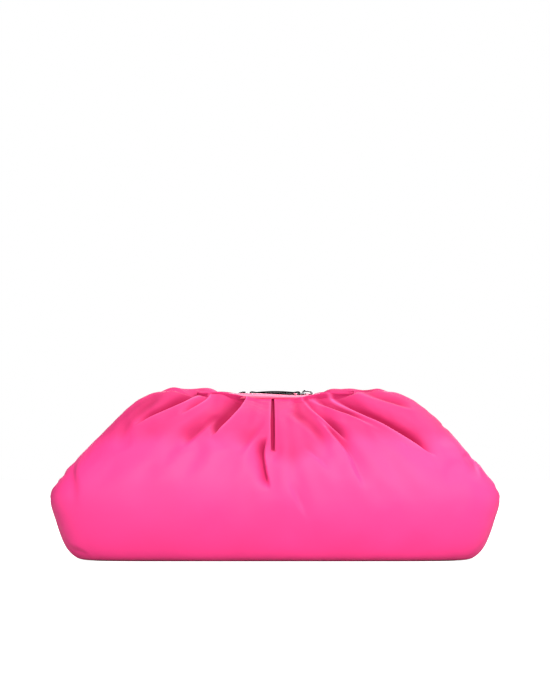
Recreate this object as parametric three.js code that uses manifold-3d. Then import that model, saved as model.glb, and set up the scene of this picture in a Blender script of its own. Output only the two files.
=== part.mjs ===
// Pillow clutch: a padded nylon bag, gathered into a narrow bound mouth, with a short black strap in it.
// Millimetres. +Z is up, +X is to the right as seen from the front, and the front faces -Y.
// The origin is on the floor, under the middle of the bag.
import * as THREE from "three";
import { mergeVertices } from "three/addons/utils/BufferGeometryUtils.js";
import Module from "manifold-3d";

const wasm = await Module();
wasm.setup();

// Driving sizes
const WALL = 3; // nylon, wadding and lining together
const GAP = 0.3; // clearance between neighbouring pieces
const RIM_TOP = 140.7; // height of the mouth's bound edge
const STRAP_REACH = 19.5; // from the middle to the ring in each end of the strap
const STRAP_BOW = 1.3; // how far the strap's middle stands above its ends
const STRAP_END_Z = 139.9;
const STRAP_WIDTH = 5;
const STRAP_THICK = 3;
const WIRE = 1.8; // rings and links
const RING = { length: 8, width: 9.4, bend: 1.5 }; // bend is the corner radius of the wire's middle line
const LINK = { length: 9.5, width: 7, bend: 2.6 };
const STAPLE_WIRE = 1.2;

const { degToRad, smoothstep, lerp, clamp } = THREE.MathUtils;

// The strap's two ends. turn swings an end round to its side, and back is the way to the back rim there.
const STRAP_ENDS = [
  { name: "right", turn: 0, back: 1, ring_tilt: degToRad(4), link_drop: degToRad(6) },
  { name: "left", turn: Math.PI, back: -1, ring_tilt: degToRad(-8), link_drop: degToRad(8) },
];

// How finely the cloth is divided
const COLUMNS = 46;
const PATH_STEPS = 16;
const EDGE = 5.5; // half the width of the drop at a fold's edge

// Rings round the bag from the base edge up to the mouth. seam_x and seam_z place a ring on the side seams,
// face_y and face_z on the middle of the front and back, and square says how boxy it is. rows is how many
// rows of facets lead up to the next ring.
const SECTIONS = [
  { seam_x: 154, seam_z: 0, face_y: 44, face_z: 0, square: 6, rows: 1 },
  { seam_x: 166.5, seam_z: 2.2, face_y: 54, face_z: 2.5, square: 6, rows: 2 },
  { seam_x: 176.5, seam_z: 12, face_y: 59.5, face_z: 14, square: 5.5, rows: 1 },
  { seam_x: 184.5, seam_z: 32, face_y: 63.5, face_z: 34, square: 5, rows: 2 },
  { seam_x: 189.5, seam_z: 54, face_y: 64, face_z: 54, square: 4.6, rows: 2 },
  { seam_x: 178, seam_z: 73, face_y: 60, face_z: 76, square: 4.2, rows: 4 },
  { seam_x: 152, seam_z: 102, face_y: 49, face_z: 100, square: 3.8, rows: 4 },
  { seam_x: 119, seam_z: 133.5, face_y: 33, face_z: 121, square: 3.4, rows: 3 },
  { seam_x: 93, seam_z: 142.5, face_y: 19.5, face_z: 130.6, square: 3, rows: 2 },
  { seam_x: 69, seam_z: 134.5, face_y: 13.8, face_z: 133.4, square: 3, rows: 1 },
  { seam_x: 64, seam_z: 136, face_y: 12, face_z: 136, square: 3, rows: 0 },
];
const SPANS = SECTIONS.length - 1;
const UPS = [];
SECTIONS.forEach(({ rows }, i) => {
  for (let k = 0; k < rows; k++) UPS.push((i + k / rows) / SPANS);
});
UPS.push(1);
const ROWS = UPS.length - 1;

// Folds, each along a line from, via, to in [x, z] as seen from the front. On one side of the line the cloth
// drops by valley over drop_width, and on the other it stands up by lip over lip_width. raised is 1 where the
// side that stands up is the right-hand one going down the line, and -1 where it is the left. Past hold, a
// share of its length, a fold fades.
const FOLD_COLUMNS = ["from", "via", "to", "valley", "lip", "drop_width", "lip_width", "raised", "hold"];
const foldTable = (rows) =>
  rows.map((row) => Object.fromEntries(FOLD_COLUMNS.map((column, k) => [column, row[k]])));
const FRONT_FOLDS = foldTable([
  [[-1, 137], [-0.5, 112], [-1, 86], 7, 2, 4, 12, 1, 0.6],
  [[-6, 106], [-8.5, 88], [-3, 60], 3.5, 1.5, 6, 8, 1, 0.5],
  [[-24, 138], [-35, 119], [-60, 98], 7, 3, 13, 20, 1, 0.5],
  [[-38, 134], [-59, 113], [-76, 96], 4, 1, 10, 14, 1, 0.5],
  [[-60, 138], [-82, 129], [-110, 116], 4, 2.5, 10, 14, 1, 0.6],
  [[-92, 138], [-115, 126], [-127, 98], 3, 1.5, 10, 12, 1, 0.4],
  [[21, 137], [40, 117], [66, 91], 6.5, 2.5, 14, 18, -1, 0.5],
  [[23, 138], [51, 129], [83, 117], 3.5, 2, 9, 10, -1, 0.5],
  [[47, 138], [86, 120], [131, 91], 6, 2.5, 9, 16, -1, 0.75],
  [[60, 139], [93, 135], [120, 127], 3, 2, 8, 10, -1, 0.6],
  [[158, 94], [168, 80], [172, 60], 3, 1, 7, 8, -1, 0.4],
  [[-162, 92], [-168, 72], [-166, 46], 2.5, 1, 8, 8, 1, 0.4],
]);
const BACK_FOLDS = foldTable([
  [[5, 137], [4, 112], [9, 82], 6, 2.5, 6, 14, -1, 0.6],
  [[-20, 138], [-37, 117], [-66, 92], 6.5, 3, 12, 18, 1, 0.5],
  [[-46, 138], [-84, 122], [-124, 94], 5.5, 2.5, 10, 16, 1, 0.7],
  [[28, 138], [47, 116], [70, 93], 6, 2.5, 12, 18, -1, 0.5],
  [[50, 138], [90, 123], [127, 97], 5.5, 2.5, 10, 16, -1, 0.7],
]);

// Puffs where the gathered cloth stands up beside the mouth: place along x, share of the way up, height and
// half length.
const FRONT_PUFFS = [
  { x: -76, up: 0.78, height: 1.5, half_length: 24 },
  { x: 78, up: 0.78, height: 1, half_length: 24 },
];
const BACK_PUFFS = [
  { x: -62, up: 0.8, height: 12.5, half_length: 18 },
  { x: -86, up: 0.79, height: 2, half_length: 9 },
  { x: 53, up: 0.8, height: 14, half_length: 14 },
  { x: 80, up: 0.79, height: 5, half_length: 14 },
];
const PUFF_RISE = 0.062; // half the height of a puff, as a share of the way up the cloth

const NYLON = { color: 0xfe529e, roughness: 0.45, metalness: 0 };
const BLACK = { color: 0x0b0a0b, roughness: 0.25, metalness: 0 };
const STEEL = { color: 0xd9d9dc, roughness: 0.15, metalness: 1 };

const bell = (distance, width) => Math.exp(-((distance / width) ** 2));

const bag = new THREE.Group();

function addPiece(name, geometry, finish, parent = bag) {
  const piece = new THREE.Mesh(geometry, new THREE.MeshStandardMaterial(finish));
  piece.name = name;
  parent.add(piece);
  return piece;
}

// Cloth: the plain outside form

const seamLine = new THREE.SplineCurve(SECTIONS.map((s) => new THREE.Vector2(s.seam_x, s.seam_z)));
const faceLine = new THREE.SplineCurve(SECTIONS.map((s) => new THREE.Vector2(s.face_y, s.face_z)));

function squareAt(up) {
  const place = up * SPANS;
  const below = Math.min(Math.floor(place), SPANS - 1);
  return lerp(SECTIONS[below].square, SECTIONS[below + 1].square, place - below);
}

// A point of the front (facing -1) or back (facing 1), across from -1 to 1 between the seams, up from 0 to 1.
function plainPoint(facing, across, up) {
  const seam = seamLine.getPoint(up);
  const face = faceLine.getPoint(up);
  const square = squareAt(up);
  const share = Math.abs(across);
  const depth = face.x * Math.max(0, 1 - share ** square) ** (1 / square);
  return new THREE.Vector3(seam.x * across, facing * depth, lerp(face.y, seam.y, share ** 3));
}

// Columns lie closer together towards the seams, where the cloth turns the corner.
const acrossAt = (column) => Math.sin(((column / COLUMNS) * 2 - 1) * (Math.PI / 2));

function plainGrid(facing) {
  const grid = [];
  for (let i = 0; i <= COLUMNS; i++) {
    const column = [];
    for (const up of UPS) column.push(plainPoint(facing, acrossAt(i), up));
    grid.push(column);
  }
  return grid;
}

// The outward direction at a grid point. Across a seam the neighbour is the mirrored one, and the cloth lies
// flat on the floor at its lower edge and upright at the mouth.
function outwardAt(grid, i, j) {
  if (j === 0) return new THREE.Vector3(0, 0, -1);
  const mirrored = (p) => p.clone().multiply(new THREE.Vector3(1, -1, 1));
  const left = i > 0 ? grid[i - 1][j] : mirrored(grid[1][j]);
  const right = i < COLUMNS ? grid[i + 1][j] : mirrored(grid[COLUMNS - 1][j]);
  const below = grid[i][j - 1];
  const above = grid[i][Math.min(j + 1, ROWS)];
  const outward = right.clone().sub(left).cross(above.clone().sub(below)).normalize();
  const middle = new THREE.Vector3(0, 0, SECTIONS[4].face_z);
  if (outward.dot(grid[i][j].clone().sub(middle)) < 0) outward.negate();
  if (j === ROWS) outward.setZ(0).normalize();
  return outward;
}

// Cloth: folds and puffs

function foldLine(fold) {
  const points = [fold.from, fold.via, fold.to].map(([x, z]) => new THREE.Vector2(x, z));
  return new THREE.SplineCurve(points).getPoints(PATH_STEPS);
}

function oneFoldHeight(fold, line, x, z) {
  const here = new THREE.Vector2(x, z);
  let nearest = { distance: Infinity };
  for (let k = 0; k < PATH_STEPS; k++) {
    const along = line[k + 1].clone().sub(line[k]);
    const offset = here.clone().sub(line[k]);
    const share = clamp(offset.dot(along) / along.lengthSq(), 0, 1);
    const distance = offset.clone().addScaledVector(along, -share).length();
    const side = Math.sign(along.cross(offset)) || 1;
    if (distance < nearest.distance) nearest = { distance, side, place: (k + share) / PATH_STEPS };
  }
  const signed = nearest.distance * nearest.side * fold.raised;
  const drop = -fold.valley * bell(signed, fold.drop_width);
  const stand = fold.lip * bell(signed, fold.lip_width);
  const strength = 1 - smoothstep(nearest.place, fold.hold, 1);
  return strength * lerp(drop, stand, smoothstep(signed, -EDGE, EDGE));
}

// Folds die away into the seams, the base and the bound mouth.
function easeAt(across, up) {
  const mouth = 1 - smoothstep(up, 0.88, 1);
  const seam = 1 - smoothstep(Math.abs(across), 0.96, 1);
  return mouth * seam * smoothstep(up, 0.06, 0.2);
}

function clothHeight(cloth, point, across, up) {
  let height = 0;
  for (const { fold, line } of cloth.lines) height += oneFoldHeight(fold, line, point.x, point.z);
  for (const puff of cloth.puffs)
    height += puff.height * bell(point.x - puff.x, puff.half_length) * bell(up - puff.up, PUFF_RISE);
  return height * easeAt(across, up);
}

// Solids

// A closed solid through a row of loops. Each loop runs up one side of a wall and down the other, so its
// first half faces its second half across the wall.
function sweep(loops) {
  const size = loops[0].length;
  const at = (i, k) => i * size + (k % size);
  const faces = [];
  const quad = (a, b, c, d) => faces.push(a, b, c, a, c, d);
  for (let i = 0; i < loops.length - 1; i++)
    for (let k = 0; k < size; k++) quad(at(i, k), at(i + 1, k), at(i + 1, k + 1), at(i, k + 1));
  const last = loops.length - 1;
  for (let k = 0; k < size / 2 - 1; k++) {
    quad(at(0, k), at(0, k + 1), at(0, size - 2 - k), at(0, size - 1 - k));
    quad(at(last, size - 1 - k), at(last, size - 2 - k), at(last, k + 1), at(last, k));
  }
  const geometry = new THREE.BufferGeometry().setFromPoints(loops.flat());
  geometry.setIndex(signedVolume(geometry, faces) < 0 ? faces.reverse() : faces);
  return geometry;
}

function signedVolume(geometry, faces) {
  const position = geometry.getAttribute("position");
  const [a, b, c] = [0, 1, 2].map(() => new THREE.Vector3());
  let volume = 0;
  for (let f = 0; f < faces.length; f += 3) {
    [a, b, c].forEach((corner, k) => corner.fromBufferAttribute(position, faces[f + k]));
    volume += a.dot(b.cross(c)) / 6;
  }
  return volume;
}

function solidOf(geometry) {
  const bare = geometry.clone();
  bare.deleteAttribute("normal");
  bare.deleteAttribute("uv");
  const merged = mergeVertices(bare, 1e-4);
  return new wasm.Manifold(
    new wasm.Mesh({
      numProp: 3,
      vertProperties: merged.getAttribute("position").array,
      triVerts: new Uint32Array(merged.index.array),
    }),
  );
}

function geometryOf(solid) {
  const { vertProperties, triVerts } = solid.getMesh();
  return new THREE.BufferGeometry()
    .setAttribute("position", new THREE.BufferAttribute(vertProperties, 3))
    .setIndex(new THREE.BufferAttribute(triVerts, 1));
}

// Keeps a point on its own side of the seams' plane, with half the gap.
function clearOfSeam(point, facing) {
  return point.setY(facing * Math.max(GAP / 2, facing * point.y));
}

function panelGeometry(facing, folds, puffs) {
  const grid = plainGrid(facing);
  const cloth = { lines: folds.map((fold) => ({ fold, line: foldLine(fold) })), puffs };
  const loops = grid.map((column, i) => {
    const outside = [];
    const inside = [];
    column.forEach((point, j) => {
      const outward = outwardAt(grid, i, j);
      const height = clothHeight(cloth, point, acrossAt(i), UPS[j]);
      outside.push(clearOfSeam(point.clone().addScaledVector(outward, height), facing));
      inside.push(clearOfSeam(point.clone().addScaledVector(outward, height - WALL), facing));
    });
    return [...outside, ...inside.reverse()];
  });
  return sweep(loops);
}

// The bound edge stands on the panel's top edge, with a rounded top.
function rimGeometry(facing) {
  const grid = plainGrid(facing);
  const bottom = SECTIONS.at(-1).face_z + GAP;
  const profile = [
    { in: 0, z: bottom },
    { in: 0, z: RIM_TOP - WALL / 4 },
    { in: WALL / 4, z: RIM_TOP },
    { in: WALL * 0.75, z: RIM_TOP },
    { in: WALL, z: RIM_TOP - WALL / 4 },
    { in: WALL, z: bottom },
  ];
  const loops = grid.map((column, i) => {
    const outward = outwardAt(grid, i, ROWS);
    return profile.map((step) =>
      clearOfSeam(column[ROWS].clone().addScaledVector(outward, -step.in).setZ(step.z), facing),
    );
  });
  return sweep(loops);
}

function baseGeometry() {
  const edge = (facing) => plainGrid(facing).map((column) => column[0]);
  const inset = (p) => {
    const shrink = new THREE.Vector2(SECTIONS[0].seam_x - GAP, SECTIONS[0].face_y - GAP);
    return new THREE.Vector2((p.x / SECTIONS[0].seam_x) * shrink.x, (p.y / SECTIONS[0].face_y) * shrink.y);
  };
  const outline = [...edge(-1), ...edge(1).slice(1, -1).reverse()].map(inset);
  return new THREE.ExtrudeGeometry(new THREE.Shape(outline), { depth: WALL, bevelEnabled: false });
}

// A flat strip bowed up in the middle, folded round a ring at each end.
function strapGeometry() {
  const radius = (STRAP_REACH ** 2 + STRAP_BOW ** 2) / (2 * STRAP_BOW);
  const centre = STRAP_END_Z + STRAP_BOW - radius;
  const spread = Math.asin(STRAP_REACH / radius);
  const [from, to] = [Math.PI / 2 + spread, Math.PI / 2 - spread];
  const strip = new THREE.Shape();
  strip.absarc(0, centre, radius + STRAP_THICK / 2, from, to, true);
  strip.absarc(0, centre, radius - STRAP_THICK / 2, to, from, false);
  const along = { depth: STRAP_WIDTH, bevelEnabled: false, curveSegments: 12 };
  const upright = (geometry) => geometry.rotateX(Math.PI / 2).translate(0, STRAP_WIDTH / 2, 0);
  const hole = WIRE / 2 + GAP;
  const endAt = (side, bore, length) => {
    const cylinder = new THREE.CylinderGeometry(bore, bore, length, 20);
    return solidOf(cylinder.translate(side * STRAP_REACH, 0, STRAP_END_Z));
  };
  let strap = solidOf(upright(new THREE.ExtrudeGeometry(strip, along)));
  for (const side of [-1, 1]) strap = strap.add(endAt(side, hole + STRAP_THICK / 2, STRAP_WIDTH));
  for (const side of [-1, 1]) strap = strap.subtract(endAt(side, hole, STRAP_WIDTH * 2));
  return geometryOf(strap);
}

// A closed loop of round wire in the XY plane, long along X, with rounded corners.
function wireLoop({ length, width, bend }) {
  const turns = 20;
  const loop = new THREE.TorusGeometry(bend, WIRE / 2, 8, turns).rotateZ(Math.PI / turns);
  const position = loop.getAttribute("position");
  const reach = new THREE.Vector2(length, width).subScalar(WIRE + bend * 2).multiplyScalar(0.5);
  for (let i = 0; i < position.count; i++) {
    const [x, y] = [position.getX(i), position.getY(i)];
    position.setXY(i, x + Math.sign(x) * reach.x, y + Math.sign(y) * reach.y);
  }
  return loop;
}

// A bent wire round the far end of a link, with both its ends against the back rim. Its legs run along Y.
function stapleGeometry(linkFar, along, back) {
  const clear = (WIRE + STAPLE_WIRE) / 2 + GAP;
  const rimAt = (x) => plainPoint(1, x / SECTIONS.at(-1).seam_x, 1).y - WALL - GAP;
  const legs = [-clear, clear].map((offset) => linkFar.clone().addScaledVector(along, offset));
  const at = (leg, y) => new THREE.Vector3(leg.x, back * y, leg.y);
  const [near, far] = legs;
  const wire = new THREE.CurvePath();
  wire.add(new THREE.LineCurve3(at(near, rimAt(near.x)), at(near, 0)));
  wire.add(new THREE.CubicBezierCurve3(at(near, 0), at(near, -clear * 2), at(far, -clear * 2), at(far, 0)));
  wire.add(new THREE.LineCurve3(at(far, 0), at(far, rimAt(far.x))));
  const section = new THREE.Shape().absarc(0, 0, STAPLE_WIRE / 2, 0, Math.PI * 2, false);
  return new THREE.ExtrudeGeometry(section, { steps: 18, extrudePath: wire, curveSegments: 4 });
}

// One end of the strap: a ring through its fold, tilted up by ring_tilt, a link hooked on the ring and
// dropping away by link_drop, and a staple that holds the link to the back rim. The left end is the right
// one turned round.
function addStrapEnd({ name, turn, back, ring_tilt, link_drop }) {
  const heading = (angle) => new THREE.Vector2(Math.cos(angle), Math.sin(angle));
  const fold = new THREE.Vector2(STRAP_REACH, STRAP_END_Z);
  const ringSpan = RING.length - WIRE;
  const ringMiddle = fold.clone().addScaledVector(heading(ring_tilt), ringSpan / 2);
  const ringFar = fold.clone().addScaledVector(heading(ring_tilt), ringSpan);
  const down = heading(-link_drop);
  const linkMiddle = ringFar.clone().addScaledVector(down, LINK.length / 2 - WIRE * 1.5 - GAP);
  const linkFar = linkMiddle.clone().addScaledVector(down, (LINK.length - WIRE) / 2);

  const end = new THREE.Group();
  end.rotation.z = turn;
  bag.add(end);
  const ring = addPiece("strap_ring_" + name, wireLoop(RING), STEEL, end);
  ring.position.set(ringMiddle.x, 0, ringMiddle.y);
  ring.rotation.y = -ring_tilt;
  const link = addPiece("chain_link_" + name, wireLoop(LINK).rotateX(Math.PI / 2), STEEL, end);
  link.position.set(linkMiddle.x, 0, linkMiddle.y);
  link.rotation.y = link_drop;
  addPiece("chain_anchor_" + name, stapleGeometry(linkFar, down, back), STEEL, end);
}

addPiece("front_panel", panelGeometry(-1, FRONT_FOLDS, FRONT_PUFFS), NYLON);
addPiece("back_panel", panelGeometry(1, BACK_FOLDS, BACK_PUFFS), NYLON);
addPiece("base_panel", baseGeometry(), NYLON);
addPiece("front_rim", rimGeometry(-1), NYLON);
addPiece("back_rim", rimGeometry(1), NYLON);
addPiece("strap_grip", strapGeometry(), BLACK);
for (const end of STRAP_ENDS) addStrapEnd(end);

export default bag;
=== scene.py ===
"""Looks of the pillow clutch: padded nylon panels, a bound mouth, a black strap, polished rings and links.

The tables are in millimetres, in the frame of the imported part: +Z is up and the front faces -Y.
"""
import math
from collections import namedtuple

import bpy
import numpy as np
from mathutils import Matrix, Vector


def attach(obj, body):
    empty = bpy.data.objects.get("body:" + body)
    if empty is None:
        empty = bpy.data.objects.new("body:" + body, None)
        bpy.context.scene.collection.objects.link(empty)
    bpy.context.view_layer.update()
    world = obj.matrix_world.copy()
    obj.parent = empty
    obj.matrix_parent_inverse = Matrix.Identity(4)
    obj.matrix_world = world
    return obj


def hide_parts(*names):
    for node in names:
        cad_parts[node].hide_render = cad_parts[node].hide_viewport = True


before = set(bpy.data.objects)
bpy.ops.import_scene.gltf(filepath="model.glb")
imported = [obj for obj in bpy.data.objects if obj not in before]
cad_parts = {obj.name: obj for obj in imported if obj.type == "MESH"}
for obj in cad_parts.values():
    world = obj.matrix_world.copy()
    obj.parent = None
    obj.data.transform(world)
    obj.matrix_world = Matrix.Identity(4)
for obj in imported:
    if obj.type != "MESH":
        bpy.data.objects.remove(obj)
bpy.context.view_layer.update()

MM = 0.001
SEED = 7

# Which way a panel or a rim faces along y
FRONT = -1
BACK = 1

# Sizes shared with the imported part
WALL = 3.0
GAP = 0.3
RIM_TOP = 140.7
RIM_PROUD = 0.7
STRAP_REACH = 19.5
STRAP_BOW = 1.3
STRAP_END_Z = 139.9
STRAP_WIDTH = 5.0
STRAP_LAYER = 1.4
WIRE = 1.8
STAPLE_WIRE = 1.2
Loop = namedtuple("Loop", "length width bend")
RING = Loop(8.0, 9.4, 1.5)
LINK = Loop(9.5, 7.0, 2.6)
StrapEnd = namedtuple("StrapEnd", "name side ring_tilt link_drop")
STRAP_ENDS = [
    StrapEnd("right", 1, math.radians(4), math.radians(6)),
    StrapEnd("left", -1, math.radians(-8), math.radians(8)),
]

# Rings round the bag from the base edge up to the mouth: a ring's place on the side seams, its place on the
# middle of the front and back, and how boxy it is.
Section = namedtuple("Section", "seam_x seam_z face_y face_z square")
SECTIONS = [
    Section(154, 0, 44, 0, 6),
    Section(166.5, 2.2, 54, 2.5, 6),
    Section(176.5, 12, 59.5, 14, 5.5),
    Section(184.5, 32, 63.5, 34, 5),
    Section(189.5, 54, 64, 54, 4.6),
    Section(178, 73, 60, 76, 4.2),
    Section(152, 102, 49, 100, 3.8),
    Section(119, 133.5, 33, 121, 3.4),
    Section(93, 142.5, 19.5, 130.6, 3),
    Section(69, 134.5, 13.8, 133.4, 3),
    Section(64, 136, 12, 136, 3),
]
BELLY = SECTIONS[4]
MOUTH = SECTIONS[-1]
# A ring rises from its middle to its seams by this power of the share of the way across.
RISE_POWER = 3

# Folds, each along a line of (x, z) points as seen from the front, from the mouth outwards. On one side of
# the line the cloth drops by valley over drop_width. On the other it stands up by lip over lip_width, and
# hangs over the line by over. raised is 1 where the side that stands up is on the right in the picture, and
# -1 where it is on the left. A fold grows in over start and fades past hold, both shares of its length. edge
# is half the width of the drop itself.
Fold = namedtuple("Fold", "points valley lip drop_width lip_width over raised start hold edge")
FRONT_FOLDS = [
    Fold([(-0.6, 137), (-0.2, 115), (-0.2, 91)], 7, 1.6, 2.4, 14, 0.8, 1, 0.0, 0.92, 0.9),
    Fold([(-3.1, 137), (-3.7, 115), (-3.2, 91)], 3, 1.6, 2.2, 12, 0.8, -1, 0.0, 0.92, 0.9),
    Fold([(-5.5, 108), (-9, 94), (-8.6, 82), (-4, 60)], 8, 1.4, 5, 9, 0.4, 1, 0.38, 0.78, 1.2),
    Fold(
        [(-23.6, 139), (-26.4, 130), (-33.8, 121.6), (-41.9, 113.5), (-54, 104)],
        18, 3.4, 8, 18, 2.4, 1, 0.2, 0.68, 1.0,
    ),
    Fold([(-40, 127), (-55, 115), (-78, 95)], 4.0, 1.2, 8, 10, 0, 1, 0.6, 0.75, 2.6),
    Fold([(-50, 140), (-61.4, 131.3), (-82, 121.5)], 3, 1.6, 5, 7, 1.4, 1, 0.5, 0.6, 1.0),
    Fold([(-55.7, 140), (-77.7, 131.8), (-107, 119.2), (-120, 112)], 6.6, 2.4, 8, 13, 1.6, 1, 0.5, 0.7, 1.1),
    Fold([(-90, 138), (-110, 126), (-124, 110), (-131, 94)], 1.8, 1.0, 10, 10, 0, 1, 0.25, 0.55, 3.5),
    Fold(
        [(20.8, 138), (30.5, 127.3), (41.9, 117.5), (51.7, 108.5), (62, 99)],
        3.2, 2.6, 4.6, 13, 1.2, -1, 0.75, 0.75, 1.0,
    ),
    Fold([(37, 119.2), (48.4, 105.3), (58.2, 94), (70, 76)], 3.5, 1.4, 5, 8, 0.5, -1, 0.3, 0.5, 1.5),
    Fold([(30, 133.5), (53.3, 125.6), (64.7, 121.6), (90, 109)], 4.5, 1.4, 8, 9, 1.2, -1, 0.25, 0.55, 1.8),
    Fold(
        [(43, 136.5), (54, 132), (70.5, 124.5), (100, 107.8), (136, 87)],
        14, 3.0, 5.5, 18, 2.2, -1, 0.55, 0.75, 1.0,
    ),
    Fold([(56, 139.5), (81, 136.5), (97.2, 132.6), (118, 126)], 3, 1.6, 6, 9, 0.5, -1, 0.7, 0.75, 1.6),
    Fold([(3.7, 128), (24, 115), (46, 93)], 3.6, 0.8, 12, 10, 0, -1, 0.35, 0.6, 4.5),
    Fold([(58, 92), (66, 78), (76, 58)], 1.8, 0.7, 6, 8, 0, -1, 0.45, 0.5, 2.2),
    Fold([(22, 96), (34, 87), (46, 74)], 2, 0.8, 7, 8, 0, -1, 0.5, 0.5, 2.2),
    Fold([(9, 70), (18, 52), (28, 32)], 1.3, 0.6, 6, 8, 0, -1, 0.45, 0.5, 2.4),
    Fold([(-7, 120), (-18, 104), (-30, 88)], 2.6, 1.0, 8, 9, 0, 1, 0.4, 0.65, 3.5),
    Fold([(163, 94), (168.5, 85), (171.5, 68)], 4.5, 1.2, 5, 6, 0.5, 1, 0.15, 0.4, 1.2),
    Fold([(-163, 96), (-167.5, 78), (-165.5, 60), (-166, 44)], 2.4, 1.0, 10, 12, 0, 1, 0.4, 0.6, 4.0),
    Fold([(-176, 12.5), (-167, 11.5), (-152, 5)], 1.3, 0.7, 4, 6, 0, 1, 0.4, 0.6, 1.6),
]
BACK_FOLDS = [
    Fold([(5, 137), (4, 112), (9, 82)], 9, 2.5, 4, 14, 1.2, -1, 0.25, 0.6, 1.1),
    Fold([(-20, 138), (-37, 117), (-68, 90)], 9, 2.5, 9, 18, 1.6, 1, 0.25, 0.6, 1.1),
    Fold([(-54, 130), (-84, 120), (-128, 92)], 8, 2, 9, 16, 1.4, 1, 0.3, 0.75, 1.1),
    Fold([(28, 138), (47, 116), (72, 91)], 9, 2.5, 9, 18, 1.6, -1, 0.25, 0.6, 1.1),
    Fold([(58, 130), (90, 121), (130, 95)], 8, 2, 9, 16, 1.4, -1, 0.3, 0.75, 1.1),
    Fold([(-8, 128), (-16, 108), (-14, 78)], 4, 1.2, 7, 9, 0, 1, 0.4, 0.5, 2.8),
    Fold([(-34, 130), (-60, 108), (-96, 86)], 4, 1.2, 9, 10, 0, 1, 0.4, 0.5, 3.0),
    Fold([(38, 130), (66, 110), (102, 86)], 4, 1.2, 9, 10, 0, -1, 0.4, 0.5, 3.0),
]
# How sharply a valley comes to its line, the most that any valley drops, that as a share of the bag's half
# depth there, how many times as far folds that meet may drop, and how much of each part of the outward
# direction a fold follows.
FOLD_CUSP = 1.3
DEEPEST = 13.0
DEEPEST_SHARE = 0.5
MEETING_SHARE = 1.4
LEVEL_SHARES = (1, 1, 0.2)
# Where the side that stands up starts to fade, as a share of the fold's hold, how far from the line the
# overhang is largest, in half widths of the drop, and what brings that to the fold's own value.
LIP_HOLD = 0.4
OVERHANG_PLACE = 1.4
OVERHANG_SCALE = 1.65
# Into how many straight pieces a fold's line is divided.
FOLD_STEPS = 24
# Where folds and puffs die out: shares of the way up at the mouth and at the base, and of the way across at
# the seams.
MOUTH_EASE = (0.95, 0.995)
BASE_EASE = (0.04, 0.16)
SEAM_EASE = (0.965, 1)

# Puffs where the gathered cloth stands up beside the mouth: place along x, share of the way up, height and
# half length. All of them reach PUFF_RISE up and down, as a share of the way up.
Puff = namedtuple("Puff", "x up height half_length")
FRONT_PUFFS = [
    Puff(-46, 0.86, 6, 14),
    Puff(-72, 0.8, 3, 22),
    Puff(40, 0.86, 5, 14),
    Puff(70, 0.82, 4, 20),
]
BACK_PUFFS = [
    Puff(-58, 0.8, 13, 19),
    Puff(-86, 0.79, 4.2, 13),
    Puff(48, 0.8, 14, 17),
    Puff(66, 0.8, 4, 9),
    Puff(80, 0.79, 6, 15),
]
PUFF_RISE = 0.062

# Cloth that bunches up against the bound edge towards the ends of the mouth: between which places along x
# it grows, how far it rises at the front and at the back, how far it stands out, its share of the way up, how
# much of that it takes and where it dies out, and how far it covers folds.
BUNCH_GROWS = (2, 46)
BUNCH_HEIGHT = {FRONT: 4.3, BACK: 6.0}
BUNCH_OUT = 3.2
BUNCH_UP = 0.945
BUNCH_SPREAD = 0.028
BUNCH_EASE = (0.96, 0.995)
BUNCH_COVER = 0.95

# How far the front rim sinks in the middle of its sag, as a share of its height, and where that is along x.
RIM_SAG = 0.36
RIM_SAG_X = 18
RIM_SAG_REACH = 24

# The cloth's colour is darkened by painted shade in the gathers, as if it lay this much lower: from what
# height up, over how much, and how far that comes down beside the middle.
GATHER_SHADE = 3.6
GATHER_LOW = 88
GATHER_RISE = 24
GATHER_DIP = 20
GATHER_DIP_X = 12
GATHER_DIP_REACH = 24
# The painted shade of a crease follows how deep the cloth lies, and how deep against the cloth up to
# RELIEF_REACH columns and rows away, in these shares. The depth of cloth that stands up is taken as no more
# than LIP_SHADE, or twice that against the cloth around it.
DEPTH_SHARE = 0.6
RELIEF_SHARE = 0.4
RELIEF_REACH = 12
LIP_SHADE = 0.2

# A painted highlight makes the turned edge of a fold that hangs over paler: how wide that is, how far from
# the line, and the overhang that shows it in full.
EDGE_HIGHLIGHT_WIDTH = 0.8
EDGE_HIGHLIGHT_PLACE = 0.9
EDGE_HIGHLIGHT_FULL = 2.4

# Soft waves of the cloth: even ones, and long ones that fan out from a point above the mouth and grow between
# the heights FAN_GROWS. Each is a sum of RIPPLES waves, with lengths between the shares RIPPLE_LENGTHS.
RIPPLES = 14
RIPPLE_LENGTHS = (0.7, 1.5)
WAVE_LENGTH = 46
WAVE_HEIGHT = 0.25
FAN_TOP = 190
FAN_WIDTH = 120
FAN_STRETCH = 0.15
FAN_LENGTH = 20
FAN_HEIGHT = 0.45
FAN_GROWS = (20, 90)

# Dents and bumps of the side seams: which side, height, how far in (or out, below 0) and half height.
SeamDent = namedtuple("SeamDent", "side z depth half_height")
SEAM_DENTS = [
    SeamDent(-1, 112, 2.0, 22),
    SeamDent(-1, 83, 1.2, 2.0),
    SeamDent(-1, 77, -1.0, 3.0),
    SeamDent(-1, 71, 2.2, 2.2),
    SeamDent(-1, 68, -0.6, 1.8),
    SeamDent(-1, 65, 1.6, 1.8),
    SeamDent(-1, 59, -0.8, 3.0),
    SeamDent(-1, 30, 0.9, 18),
    SeamDent(1, 112, -2.6, 15),
    SeamDent(1, 112.5, 1.8, 2.2),
    SeamDent(1, 86, 2.0, 2.2),
    SeamDent(1, 80, -1.2, 3.5),
    SeamDent(1, 66, -1.0, 4.0),
    SeamDent(1, 60.5, 2.0, 2.0),
]
# How far a dent reaches from its seam, as a share of the way to the front or the back.
SEAM_DENT_REACH = 0.35
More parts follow.
